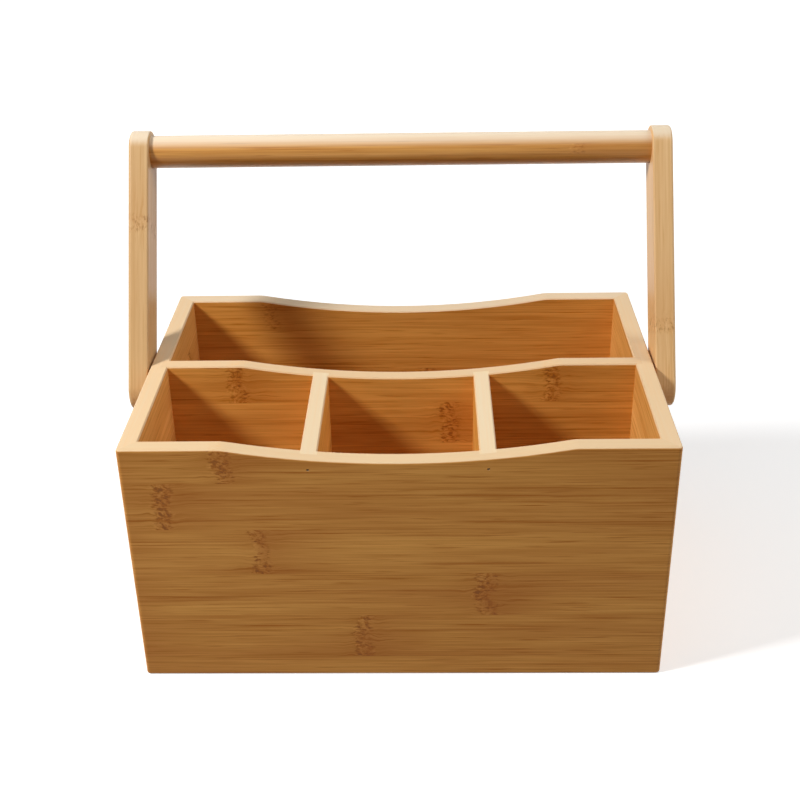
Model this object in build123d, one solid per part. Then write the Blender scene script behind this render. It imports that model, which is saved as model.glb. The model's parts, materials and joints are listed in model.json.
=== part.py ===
from build123d import *

import math
import os

# Bamboo utensil caddy: a mitred box with a waved rim, three short compartments in front of one long one,
# and a round bar handle on two arms that swing on screws in the side boards.
#
# Millimetres. X runs along the box, Y from front to back, Z up. The origin is the middle of the footprint,
# on the table. The handle is drawn where it is left standing, leaning towards the back.

# Box
WIDTH = 260.0
DEPTH = 178.0
HEIGHT = 132.0
BOARD = 9.0
PARTITION = 8.0
DIVIDER = 8.0
COMPARTMENTS_IN_FRONT = 3
BASE_THICKNESS = 6.0
BASE_LIFT = 6.0
BASE_GROOVE = 4.0
HOUSING = 3.5

# Waved rim: the flat shoulders end WAVE_HALF from the middle, and the line falls WAVE_DIP below them.
WAVE_HALF = 84.0
WAVE_DIP = 7.4
SHOULDER_RADIUS = 25.0

# Sanded edges: the outside is rounded, and the edges of the compartments are only just broken
UPRIGHT_EDGE_RADIUS = 2.0
RIM_EDGE_RADIUS = 0.9
FOOT_EDGE_RADIUS = 1.2
COMPARTMENT_EDGE_CHAMFER = 0.6

# Hidden strips that hold the mitres together
SPLINE_THICKNESS = 2.0
SPLINE_WIDTH = 8.0
SPLINE_INSET = 5.3
SPLINE_BOTTOM = 16.0
SPLINE_TOP = 114.0

# Swing handle
PIVOT_BELOW_RIM = 14.0
HANDLE_LEAN = 30.0
HANDLE_REACH = 125.0
ARM_WIDTH = 22.0
ARM_THICKNESS = 10.5
ARM_OUTER_CHAMFER = 1.5
ARM_INNER_CHAMFER = 0.8
ARM_GAP = 1.0
BAR_RADIUS = 8.5
BAR_SOCKET = 3.0
BAR_END_CHAMFER = 0.6

# Pivot screws: a round head over a washer, sunk in the arm, and a plain washer between the arm and the box
PIVOT_RADIUS = 2.1
PIVOT_CLEARANCE = 0.08
PIVOT_SCREW_LENGTH = 35.0
PAN_HEAD_RADIUS = 4.0
PAN_HEAD_HEIGHT = 2.6
PAN_HEAD_CROWN = 1.2
COUNTERBORE_RADIUS = 6.6
COUNTERBORE_DEPTH = 4.6
HEAD_WASHER_RADIUS = 6.0
HEAD_WASHER_THICKNESS = 1.0
SPACER_RADIUS = 8.0
WASHER_HOLE_RADIUS = 2.2
TURNING_GAP = 0.05

# Bar screws: flush heads through the arms into the ends of the bar
BAR_SCREW_RADIUS = 2.0
BAR_SCREW_LENGTH = 32.0
FLUSH_HEAD_RADIUS = 3.9
FLUSH_HEAD_RIM = 0.3
SCREW_TIP = 3.0
SCREW_POINT = 0.4
RECESS_SPAN = 3.6
RECESS_SLOT = 0.9
RECESS_DEPTH = 1.5

# Brads of flat wire through the front board into the dividers' ends, set a little below the surface
BRAD_WIDTH = 1.25
BRAD_THICKNESS = 1.0
BRAD_LENGTH = 20.0
BRAD_SET = 0.4
BRAD_BELOW_SHOULDER = 10.8

# Worked out from the sizes above
INSIDE_WIDTH = WIDTH - 2 * BOARD
INSIDE_DEPTH = DEPTH - 2 * BOARD
FRONT_INSIDE = -DEPTH / 2 + BOARD
BACK_INSIDE = DEPTH / 2 - BOARD
DIVIDERS = COMPARTMENTS_IN_FRONT - 1
COMPARTMENT_WIDTH = (INSIDE_WIDTH - DIVIDERS * DIVIDER) / COMPARTMENTS_IN_FRONT
DIVIDER_X = COMPARTMENT_WIDTH / 2 + DIVIDER / 2
FLOOR = BASE_LIFT + BASE_THICKNESS
PIVOT_Z = HEIGHT - PIVOT_BELOW_RIM
ARM_INNER_X = WIDTH / 2 + ARM_GAP
OVERSHOOT = 1.0


def block(low, high):
    """A box from its low corner to its high corner."""
    size = [b - a for a, b in zip(low, high)]
    middle = [(a + b) / 2 for a, b in zip(low, high)]
    return Pos(*middle) * Box(*size)


def above_the_wave():
    """What the waved line takes off the boards: two small shoulder arcs tangent to one long hollow arc."""
    radii = (WAVE_HALF**2 + WAVE_DIP**2) / (2 * WAVE_DIP)
    hollow = radii - SHOULDER_RADIUS
    turn = math.asin(WAVE_HALF / radii)
    meet_x = hollow * math.sin(turn)
    meet_z = HEIGHT - WAVE_DIP + hollow * (1 - math.cos(turn))
    mid_x = WAVE_HALF - SHOULDER_RADIUS * math.sin(turn / 2)
    mid_z = HEIGHT - SHOULDER_RADIUS * (1 - math.cos(turn / 2))
    top = HEIGHT + OVERSHOOT
    line = Curve() + [
        ThreePointArc((-WAVE_HALF, HEIGHT), (-mid_x, mid_z), (-meet_x, meet_z)),
        ThreePointArc((-meet_x, meet_z), (0, HEIGHT - WAVE_DIP), (meet_x, meet_z)),
        ThreePointArc((meet_x, meet_z), (mid_x, mid_z), (WAVE_HALF, HEIGHT)),
        Polyline((WAVE_HALF, HEIGHT), (WAVE_HALF, top), (-WAVE_HALF, top), (-WAVE_HALF, HEIGHT)),
    ]
    return extrude(make_face(Plane.XZ * line), amount=DEPTH, both=True)


def compartments():
    """The open spaces between the boards: three in front of the partition and one long one behind it."""
    spaces = []
    for n in range(COMPARTMENTS_IN_FRONT):
        left = -INSIDE_WIDTH / 2 + n * (COMPARTMENT_WIDTH + DIVIDER)
        low = (left, FRONT_INSIDE, -OVERSHOOT)
        high = (left + COMPARTMENT_WIDTH, -PARTITION / 2, HEIGHT + OVERSHOOT)
        spaces.append(block(low, high))
    low = (-INSIDE_WIDTH / 2, PARTITION / 2, -OVERSHOOT)
    high = (INSIDE_WIDTH / 2, BACK_INSIDE, HEIGHT + OVERSHOOT)
    spaces.append(block(low, high))
    return spaces


def is_rim_edge(edge):
    """True for the sharp edges of the rim, and not for the seams where its flats run on into its arcs."""
    middle = edge.center()
    if middle.Z < HEIGHT - WAVE_DIP - OVERSHOOT or abs(edge.tangent_at(0.5).Z) > 0.9:
        return False
    if abs(edge.tangent_at(0.5).Y) < 0.9:
        return True
    at_compartment = [INSIDE_WIDTH / 2, DIVIDER_X + DIVIDER / 2, DIVIDER_X - DIVIDER / 2, WIDTH / 2]
    return any(abs(abs(middle.X) - x) < 0.01 for x in at_compartment)


def is_outer(edge):
    """True for an edge on the outside of the four wall boards."""
    middle = edge.center()
    return abs(middle.X) > INSIDE_WIDTH / 2 + 1 or abs(middle.Y) > BACK_INSIDE + 1


def is_at_foot(edge):
    """True for an edge at the height of the table."""
    return abs(edge.center().Z) < 0.01


def glued_up_body():
    """Boards, partition and dividers as one piece: they are glued first, and their rim is sanded as one."""
    body = extrude(RectangleRounded(WIDTH, DEPTH, UPRIGHT_EDGE_RADIUS), HEIGHT)
    for space in compartments():
        body -= space
    body -= above_the_wave()
    inner = body.edges().filter_by(is_rim_edge) - body.edges().filter_by(is_outer)
    body = chamfer(inner, COMPARTMENT_EDGE_CHAMFER)
    body = fillet(body.edges().filter_by(is_rim_edge).filter_by(is_outer), RIM_EDGE_RADIUS)
    return fillet(body.edges().filter_by(is_at_foot).filter_by(is_outer), FOOT_EDGE_RADIUS)


def partition_room():
    """Where the long partition goes, with its ends let into the side boards."""
    x = INSIDE_WIDTH / 2 + HOUSING
    return block((-x, -PARTITION / 2, FLOOR), (x, PARTITION / 2, HEIGHT + OVERSHOOT))


def divider_room(side):
    """Where one short divider goes, let into the front board and the partition."""
    x = side * DIVIDER_X
    low = (x - DIVIDER / 2, FRONT_INSIDE - HOUSING, FLOOR)
    high = (x + DIVIDER / 2, -PARTITION / 2 + HOUSING, HEIGHT + OVERSHOOT)
    return block(low, high)


def base_panel():
    """The bottom, whose four edges sit in grooves in the boards."""
    x = INSIDE_WIDTH / 2 + BASE_GROOVE
    y = INSIDE_DEPTH / 2 + BASE_GROOVE
    return block((-x, -y, BASE_LIFT), (x, y, FLOOR))


def corner_spline(side_x, side_y):
    """A strip across one mitre, half in each board, that stops short of the rim."""
    strip = Box(SPLINE_WIDTH, SPLINE_THICKNESS, SPLINE_TOP - SPLINE_BOTTOM)
    at = Pos(
        side_x * (WIDTH / 2 - SPLINE_INSET),
        side_y * (DEPTH / 2 - SPLINE_INSET),
        (SPLINE_BOTTOM + SPLINE_TOP) / 2,
    )
    return at * Rot(0, 0, -45 * side_x * side_y) * strip


def mitred_wedge(axis, side):
    """The room of one wall board between its two mitres: a long board across "y", a side board across "x"."""
    out_x, out_y = WIDTH / 2 + OVERSHOOT, DEPTH / 2 + OVERSHOOT
    in_x, in_y = INSIDE_WIDTH / 2, INSIDE_DEPTH / 2
    if axis == "y":
        points = [(-out_x, side * out_y), (out_x, side * out_y), (in_x, side * in_y), (-in_x, side * in_y)]
    else:
        points = [(side * out_x, -out_y), (side * out_x, out_y), (side * in_x, in_y), (side * in_x, -in_y)]
    face = make_face(Polyline(*points, close=True))
    return Pos(0, 0, -OVERSHOOT) * extrude(face, HEIGHT + 2 * OVERSHOOT, dir=(0, 0, 1))


def screw_recess():
    """The cross in a screw's head, cut down from z = 0."""
    cross = Rectangle(RECESS_SPAN, RECESS_SLOT) + Rectangle(RECESS_SLOT, RECESS_SPAN)
    return extrude(cross, -RECESS_DEPTH)


def screw_body(radius, length):
    """A shank from z = 0 down to its four-sided point."""
    shank = Pos(0, 0, -(length - SCREW_TIP) / 2) * Cylinder(radius, length - SCREW_TIP)
    wide = radius * math.sqrt(2)
    low, high = wide / 2 - SCREW_POINT / 2, wide / 2 + SCREW_POINT / 2
    tip = Wedge(wide, SCREW_TIP, wide, low, low, high, high)
    tip = Pos(0, 0, -length + SCREW_TIP / 2) * Rot(-90, 0, 0) * tip
    return shank + tip


def pan_head_screw():
    """A pivot screw, standing on its point, with the underside of its round head at z = 0."""
    head = Pos(0, 0, PAN_HEAD_HEIGHT / 2) * Cylinder(PAN_HEAD_RADIUS, PAN_HEAD_HEIGHT)
    head = chamfer(head.edges().sort_by(Axis.Z)[-1], PAN_HEAD_CROWN)
    head -= Pos(0, 0, PAN_HEAD_HEIGHT) * screw_recess()
    return head + screw_body(PIVOT_RADIUS, PIVOT_SCREW_LENGTH)


def flush_head(grow=0.0):
    """The cone of a countersunk head, its flat top at z = 0."""
    depth = FLUSH_HEAD_RADIUS - BAR_SCREW_RADIUS
    cone = Pos(0, 0, -FLUSH_HEAD_RIM - depth / 2) * Cone(BAR_SCREW_RADIUS, FLUSH_HEAD_RADIUS, depth)
    rim = Pos(0, 0, (grow - FLUSH_HEAD_RIM) / 2) * Cylinder(FLUSH_HEAD_RADIUS, FLUSH_HEAD_RIM + grow)
    return cone + rim


def flush_screw():
    """A bar screw, standing on its point, with its flat head's top at z = 0."""
    return flush_head() + screw_body(BAR_SCREW_RADIUS, BAR_SCREW_LENGTH) - screw_recess()


def brad(side, start=BRAD_SET):
    """One brad, from a depth of start behind the front face into a divider's end. Its hole starts at 0."""
    length = BRAD_SET + BRAD_LENGTH - start
    at = Pos(side * DIVIDER_X, -DEPTH / 2 + start + length / 2, HEIGHT - BRAD_BELOW_SHOULDER)
    return at * Box(BRAD_WIDTH, length, BRAD_THICKNESS)


def washer(radius, thickness):
    """A flat ring with its lower face at z = 0."""
    return Pos(0, 0, thickness / 2) * (Cylinder(radius, thickness) - Cylinder(WASHER_HOLE_RADIUS, thickness))


def on_pivot(x):
    """From a piece that stands on z = 0 to the right-hand pivot, with its +Z pointing out of the box at x."""
    return Pos(x, 0, PIVOT_Z) * Rot(0, 90, 0)


def leaning(part):
    """Turns what is drawn upright over the pivot to the angle at which the handle is left standing."""
    return Pos(0, 0, PIVOT_Z) * Rot(-HANDLE_LEAN, 0, 0) * part


def right_arm():
    """One arm: a strip with round ends, bored for the pivot at the bottom and with a socket for the bar."""
    strip = Pos(0, HANDLE_REACH / 2) * Rot(0, 0, 90) * SlotCenterToCenter(HANDLE_REACH, ARM_WIDTH)
    arm = extrude(Plane.YZ * strip, ARM_THICKNESS)
    arm = chamfer(arm.faces().sort_by(Axis.X)[-1].edges(), ARM_OUTER_CHAMFER)
    arm = chamfer(arm.faces().sort_by(Axis.X)[0].edges(), ARM_INNER_CHAMFER)
    across = Rot(0, 90, 0)
    arm -= Pos(ARM_THICKNESS / 2, 0, 0) * across * Cylinder(PIVOT_RADIUS + PIVOT_CLEARANCE, 2 * ARM_THICKNESS)
    floor = ARM_THICKNESS - COUNTERBORE_DEPTH
    arm -= Pos(floor + COUNTERBORE_DEPTH, 0, 0) * across * Cylinder(COUNTERBORE_RADIUS, 2 * COUNTERBORE_DEPTH)
    top = Pos(0, 0, HANDLE_REACH)
    arm -= top * across * Cylinder(BAR_RADIUS, 2 * BAR_SOCKET)
    arm -= top * across * Cylinder(BAR_SCREW_RADIUS, 3 * ARM_THICKNESS)
    arm -= top * Pos(ARM_THICKNESS, 0, 0) * across * flush_head(grow=OVERSHOOT)
    return leaning(Pos(ARM_INNER_X, 0, 0) * arm)


def placed_bar_screw():
    """The right-hand bar screw, flush with the arm's outer face."""
    at = Pos(ARM_INNER_X + ARM_THICKNESS, 0, HANDLE_REACH)
    return leaning(at * Rot(0, 90, 0) * flush_screw())


def handle_bar():
    """The round grip, whose ends sit in the arms' sockets."""
    end = ARM_INNER_X + BAR_SOCKET
    bar = Rot(0, 90, 0) * Cylinder(BAR_RADIUS, 2 * end)
    bar = chamfer(bar.edges().filter_by(GeomType.CIRCLE), BAR_END_CHAMFER)
    return leaning(Pos(0, 0, HANDLE_REACH) * bar)


def left_of(part):
    """The same piece for the other end of the box."""
    return mirror(part, about=Plane.YZ)


def build():
    """Makes every piece in its place, by name."""
    body = glued_up_body()
    base = base_panel()
    rooms = [divider_room(-1), divider_room(1)]
    brad_holes = [brad(-1, start=0), brad(1, start=0)]
    splines = {
        "spline_front_left": corner_spline(-1, -1),
        "spline_front_right": corner_spline(1, -1),
        "spline_back_left": corner_spline(-1, 1),
        "spline_back_right": corner_spline(1, 1),
    }
    head_seat = ARM_INNER_X + ARM_THICKNESS - COUNTERBORE_DEPTH + TURNING_GAP
    pivot_screw = on_pivot(head_seat + HEAD_WASHER_THICKNESS) * pan_head_screw()
    pivot_screws = [pivot_screw, left_of(pivot_screw)]

    partition = body & partition_room()
    for cut in [*rooms, *pivot_screws]:
        partition -= cut

    boards = {
        "front_board": body & mitred_wedge("y", -1),
        "back_board": body & mitred_wedge("y", 1),
        "left_side_board": body & mitred_wedge("x", -1),
        "right_side_board": body & mitred_wedge("x", 1),
    }
    for name in boards:
        for cut in [base, partition_room(), *rooms, *brad_holes, *splines.values(), *pivot_screws]:
            boards[name] -= cut

    bar_screw = placed_bar_screw()
    bar = handle_bar()
    for screw in [bar_screw, left_of(bar_screw)]:
        bar -= screw
    arm = right_arm()
    head_washer = on_pivot(head_seat) * washer(HEAD_WASHER_RADIUS, HEAD_WASHER_THICKNESS)
    spacer = on_pivot(WIDTH / 2) * washer(SPACER_RADIUS, ARM_GAP - TURNING_GAP)

    return {
        **boards,
        **splines,
        "base_panel": base,
        "long_partition": partition,
        "left_divider": (body & rooms[0]) - brad_holes[0],
        "right_divider": (body & rooms[1]) - brad_holes[1],
        "left_divider_brad": brad(-1),
        "right_divider_brad": brad(1),
        "right_handle_arm": arm,
        "left_handle_arm": left_of(arm),
        "handle_bar": bar,
        "right_bar_screw": bar_screw,
        "left_bar_screw": left_of(bar_screw),
        "right_pivot_screw": pivot_screw,
        "left_pivot_screw": left_of(pivot_screw),
        "right_head_washer": head_washer,
        "left_head_washer": left_of(head_washer),
        "right_spacer_washer": spacer,
        "left_spacer_washer": left_of(spacer),
    }


os.makedirs("parts", exist_ok=True)
for node, shape in build().items():
    export_step(shape, f"parts/{node}.step")
    print(node, round(shape.volume, 1))
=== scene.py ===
"""A bamboo utensil caddy: the finish of its boards, its bar handle and its hardware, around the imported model.

Metres throughout. X runs along the box, Y from front to back and Z up. The origin is the middle of the
footprint.
"""

import json
import logging
import math
from dataclasses import dataclass, field, replace
from enum import Enum

import bpy
import numpy as np
from mathutils import Matrix, Vector


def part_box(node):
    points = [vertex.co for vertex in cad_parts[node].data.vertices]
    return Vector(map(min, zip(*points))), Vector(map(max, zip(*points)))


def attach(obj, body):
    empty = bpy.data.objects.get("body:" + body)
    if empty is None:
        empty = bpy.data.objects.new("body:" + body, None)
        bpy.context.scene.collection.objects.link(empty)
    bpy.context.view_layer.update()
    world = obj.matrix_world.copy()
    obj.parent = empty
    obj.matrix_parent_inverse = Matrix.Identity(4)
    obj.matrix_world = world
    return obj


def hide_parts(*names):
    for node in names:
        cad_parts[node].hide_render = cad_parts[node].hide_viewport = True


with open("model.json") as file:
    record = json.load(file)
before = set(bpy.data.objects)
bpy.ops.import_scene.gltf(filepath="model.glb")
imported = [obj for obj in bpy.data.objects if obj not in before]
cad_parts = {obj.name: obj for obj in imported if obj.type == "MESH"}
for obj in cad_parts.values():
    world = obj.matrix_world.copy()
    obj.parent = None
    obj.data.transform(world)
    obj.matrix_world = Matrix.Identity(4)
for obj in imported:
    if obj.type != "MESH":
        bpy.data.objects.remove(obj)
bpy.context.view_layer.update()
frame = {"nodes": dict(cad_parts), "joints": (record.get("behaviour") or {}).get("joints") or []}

log = logging.getLogger("caddy")

MM = 0.001
WELD_DECIMALS = 8
CREASE = 32.0
ROUND_STEPS = 7
TINY = 1e-9

# The furthest along a board that a knuckle can be, and the place of one that isn't there
BOARD_REACH = 150 * MM
NOWHERE = -BOARD_REACH

Colour = tuple[float, float, float]
Socket = bpy.types.NodeSocket
Value = float | Socket


class Grain(Enum):
    """Which way a board's fibres run, as the axes (along, across, through) in the board's own place."""

    ALONG_X = ("X", "Z", "Y")
    ALONG_Y = ("Y", "Z", "X")
    ALONG_Z = ("Z", "X", "Y")
    FLAT_X = ("X", "Y", "Z")


class PaleEdgesAndHighlights(Enum):
    """How steeply a face looks up or down to take the pale edge colour, as the size of its normal's Z. On a
    board's rim that colour is the strips' pale edges; at the arms' rounded ends it is partly end grain and
    partly a painted highlight; along the bar it is a painted highlight.

    Each is where it starts to show, and where it is full.
    """

    RIM = (0.35, 0.85)
    # The arms' rounded ends: partly their end grain, partly a painted highlight.
    CROWN = (0.50, 0.90)
    # The bar: a painted highlight along its top, and the same pale colour along its underside.
    ROUND = (0.36, 1.0)
    NONE = (2.0, 3.0)


@dataclass(frozen=True)
class Tones:
    """The colours of one lot of bamboo.

    Attributes:
        light: Between the fibres.
        dark: The fibre bundles.
        red: The warmer patches, and the wood at a knuckle.
        edge: The pale colour of faces that look up or down: the strips' pale edges on a board's rim, a painted
            highlight on the bar, and partly a painted highlight at the arms' ends.
    """

    light: Colour
    dark: Colour
    red: Colour
    edge: Colour


FRONT_TONES = Tones((0.78, 0.375, 0.084), (0.42, 0.137, 0.011), (0.42, 0.126, 0.014), (0.78, 0.58, 0.35))
# The boards inside the box are the same bamboo as the front board, painted lighter: painted light for the light
# that reaches into the compartments.
INNER_PAINTED_LIT_TONES = Tones((0.91, 0.455, 0.104), (0.52, 0.185, 0.017), (0.48, 0.150, 0.018), (0.76, 0.55, 0.33))
BACK_TONES = replace(INNER_PAINTED_LIT_TONES, edge=(0.80, 0.63, 0.43))
DIVIDER_TONES = replace(INNER_PAINTED_LIT_TONES, edge=(0.82, 0.66, 0.44))
# The side boards are the same bamboo as the front board, painted lighter and paler: painted light on their
# inner faces.
SIDE_PAINTED_LIT_TONES = Tones((0.88, 0.465, 0.137), (0.54, 0.220, 0.031), (0.50, 0.180, 0.028), (0.80, 0.59, 0.36))
# The bar's edge colour is a painted highlight along its top.
BAR_TONES = Tones((0.76, 0.385, 0.095), (0.47, 0.180, 0.025), (0.47, 0.160, 0.025), (0.86, 0.72, 0.54))
LEFT_ARM_TONES = Tones((0.70, 0.465, 0.232), (0.55, 0.310, 0.114), (0.53, 0.270, 0.096), (0.78, 0.64, 0.47))
# The right arm is the same bamboo as the left, painted lighter: painted light on the arm whose inner side faces
# the key lamp.
RIGHT_ARM_PAINTED_LIT_TONES = Tones((0.84, 0.565, 0.290), (0.67, 0.380, 0.142), (0.64, 0.330, 0.118), (0.80, 0.66, 0.48))
PIT_COLOUR = (0.15, 0.05, 0.011)


class Side(Enum):
    """The two ends of the box, as the sign of X."""

    LEFT = -1
    RIGHT = 1


# ---------------------------------------------------------------- meshes


@dataclass
class Shell:
    """One closed mesh, put together from grids of points that are welded where they meet.

    Attributes:
        points: The points of each grid.
        cells: The four corners of each of its cells, as numbers of points.
        count: How many points there are so far.
    """

    points: list[np.ndarray] = field(default_factory=list)
    cells: list[np.ndarray] = field(default_factory=list)
    count: int = 0

    def grid(self, grid: np.ndarray) -> None:
        """Adds a grid, whose cell (i, j) joins the points (i, j), (i, j+1), (i+1, j+1) and (i+1, j).

        Args:
            grid: Points by row and column, of shape (rows, columns, 3).
        """
        rows, columns = grid.shape[:2]
        numbers = np.arange(rows * columns).reshape(rows, columns) + self.count
        corners = [numbers[:-1, :-1], numbers[:-1, 1:], numbers[1:, 1:], numbers[1:, :-1]]
        self.points.append(grid.reshape(-1, 3))
        self.cells.append(np.stack(corners, axis=-1).reshape(-1, 4))
        self.count += rows * columns

    def welded(self) -> tuple[np.ndarray, np.ndarray, np.ndarray]:
        """Merges equal points, and turns cells with a closed side into triangles.

        Returns:
            The points, the four-sided faces and the three-sided faces, all facing outwards.
        """
        points = np.concatenate(self.points)
        cells = np.concatenate(self.cells)
        rounded = np.round(points, WELD_DECIMALS)
        _, first, place = np.unique(rounded, axis=0, return_index=True, return_inverse=True)
        points, cells = points[first], place.reshape(-1)[cells]
        repeated = cells == np.roll(cells, -1, axis=1)
        sides = repeated.sum(axis=1)
        fours = cells[sides == 0]
        threes = cells[sides == 1]
        start = np.argmax(repeated[sides == 1], axis=1)
        take = (start[:, None] + np.array([1, 2, 3])) % 4
        threes = np.take_along_axis(threes, take, axis=1)
        flat = np.concatenate([fours[:, [0, 1, 2]], fours[:, [0, 2, 3]], threes])
        a, b, c = (points[flat[:, n]] for n in range(3))
        if np.einsum("ij,ij->i", a, np.cross(b, c)).sum() < 0:
            fours, threes = fours[:, ::-1], threes[:, ::-1]
        return points, fours, threes

    def piece(self, name: str, material: bpy.types.Material) -> bpy.types.Object:
        """Makes the object, smooth but for edges that turn by more than the crease angle.

        Args:
            name: The piece's name.
            material: Its finish.

        Returns:
            The new object, at the origin.
        """
        points, fours, threes = self.welded()
        mesh = bpy.data.meshes.new(name)
        mesh.from_pydata(points.tolist(), [], fours.tolist() + threes.tolist())
        mesh.shade_smooth()
        mesh.set_sharp_from_angle(angle=math.radians(CREASE))
        mesh.materials.append(material)
        made = bpy.data.objects.new(name, mesh)
        bpy.context.scene.collection.objects.link(made)
        return made


def full_turn(chords: int) -> np.ndarray:
    """The angles of a full turn, in radians, for a ring of so many chords."""
    return np.radians(np.linspace(0, 360, chords + 1))


def turned(profile: np.ndarray, angles: np.ndarray) -> np.ndarray:
    """A profile turned about X: the point (x, r) goes to (x, r cos a, r sin a) for each angle a.

    Args:
        profile: Points (x, r), of shape (rows, 2).
        angles: The angles, in radians.

    Returns:
        A grid of points, with a row for each profile point.
    """
    along, out = profile[:, 0, None], profile[:, 1, None]
    return np.stack(np.broadcast_arrays(along, out * np.cos(angles), out * np.sin(angles)), axis=-1)


# ---------------------------------------------------------------- finishes


class Recipe:
    """The node tree of one finish. Each method adds a node and gives its output."""

    def __init__(self, owner: bpy.types.Material | bpy.types.World) -> None:
        """Empties the owner's node tree.

        Args:
            owner: The material or world that the nodes are for.
        """
        self.owner = owner
        owner.use_nodes = True
        self.nodes = owner.node_tree.nodes
        self.links = owner.node_tree.links
        self.nodes.clear()

    def node(self, kind: str, inputs: dict[int | str, object] | None = None,
             **settings: object) -> bpy.types.Node:
        """Adds one node.

        Args:
            kind: The node's type, without its ShaderNode.
            inputs: Each input's number or name, with a value or a socket that feeds it.
            **settings: The node's own settings.

        Returns:
            The node.
        """
        made = self.nodes.new("ShaderNode" + kind)
        for name, value in settings.items():
            setattr(made, name, value)
        for key, value in (inputs or {}).items():
            if isinstance(value, Socket):
                self.links.new(value, made.inputs[key])
            else:
                made.inputs[key].default_value = value
        return made

    def maths(self, operation: str, *values: Value) -> Socket:
        """One sum of up to three values."""
        return self.node("Math", dict(enumerate(values)), operation=operation).outputs[0]

    def smooth(self, value: Value, low: float, high: float, start: float = 0.0, end: float = 1.0) -> Socket:
        """Goes smoothly from start to end while value goes from low to high."""
        inputs = {0: value, 1: low, 2: high, 3: start, 4: end}
        return self.node("MapRange", inputs, interpolation_type="SMOOTHSTEP").outputs[0]

    def split(self, vector: Socket) -> dict[str, Socket]:
        """The X, Y and Z of a vector, by letter."""
        return dict(self.node("SeparateXYZ", {0: vector}).outputs.items())

    def joined(self, x: Value, y: Value, z: Value) -> Socket:
        """A vector from its three values."""
        return self.node("CombineXYZ", {0: x, 1: y, 2: z}).outputs[0]

    def swing(self, value: Socket, reach: float) -> Socket:
        """Goes from -reach to reach while value goes from 0 to 1."""
        return self.maths("MULTIPLY_ADD", value, 2 * reach, -reach)

    def noise(self, place: Socket, scale: tuple[float, float, float], detail: float = 2.0,
              rough: float = 0.5) -> Socket:
        """Noise from 0 to 1.

        Args:
            place: Where the surface is, in metres.
            scale: How many waves a metre has along each axis.
            detail: How many finer waves lie over the first.
            rough: How strong those are.

        Returns:
            The noise's value.
        """
        stretched = self.node("VectorMath", {0: place, 1: scale}, operation="MULTIPLY").outputs[0]
        inputs = {"Vector": stretched, "Scale": 1.0, "Detail": detail, "Roughness": rough}
        return self.node("TexNoise", inputs).outputs["Fac"]

    def steps(self, value: Socket, stops: list[tuple[float, ...]]) -> list[Socket]:
        """Four values that stay the same from one stop to the next.

        Args:
            value: Where on the row of stops, from 0 to 1.
            stops: Each stop's four values, each from 0 to 1. The stops are evenly spaced.

        Returns:
            The four values.
        """
        ramp = self.node("ValToRGB", {0: value})
        ramp.color_ramp.interpolation = "CONSTANT"
        elements = ramp.color_ramp.elements
        for number, values in enumerate(stops):
            place = number / len(stops)
            element = elements[number] if number < len(elements) else elements.new(place)
            element.position = place
            element.color = values
        parts = self.node("SeparateColor", {0: ramp.outputs[0]}).outputs
        return [*parts, ramp.outputs["Alpha"]]

    def mixed(self, share: Value, first: Colour | Socket, second: Colour | Socket) -> Socket:
        """A colour between two, by share."""
        colours = [c if isinstance(c, Socket) else (*c, 1.0) for c in (first, second)]
        inputs = {0: share, 6: colours[0], 7: colours[1]}
        return self.node("Mix", inputs, data_type="RGBA", clamp_factor=True).outputs[2]

    def finished(self, **inputs: object) -> bpy.types.Material:
        """Ends the tree in the surface shader.

        Args:
            **inputs: The shader's inputs, with _ for each space in their names.

        Returns:
            The material.
        """
        named = {name.replace("_", " "): value for name, value in inputs.items()}
        shader = self.node("BsdfPrincipled", named)
        self.node("OutputMaterial", {0: shader.outputs[0]})
        return self.owner


@dataclass(frozen=True)
class Strip:
    """One lamination of a board.

    Attributes:
        tone: How light it is, where 0.5 is the middle.
        knuckle: Where its knuckle is along it.
        second: Where a second one is.
        strength: How strong its knuckles are.
    """

    tone: float = 0.5
    knuckle: float = NOWHERE
    second: float = NOWHERE
    strength: float = 1.0

    def values(self) -> tuple[float, float, float, float]:
        """The four as numbers from 0 to 1, with the two places as shares of the board's reach."""
        places = [0.5 + place / (2 * BOARD_REACH) for place in (self.knuckle, self.second)]
        return self.tone, *places, self.strength


@dataclass(frozen=True)
class Waves:
    """A noise that is stretched along the grain.

    Attributes:
        along: How many waves a metre has along the board.
        across: How many it has across and through the board.
        detail: How many finer waves lie over the first.
        rough: How strong those are.
    """

    along: float
    across: float
    detail: float = 2.0
    rough: float = 0.5

    def at(self, r: Recipe, place: Socket) -> Socket:
        """The noise, from 0 to 1, at a place on the board."""
        return r.noise(place, (self.along, self.across, self.across), self.detail, self.rough)


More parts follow.
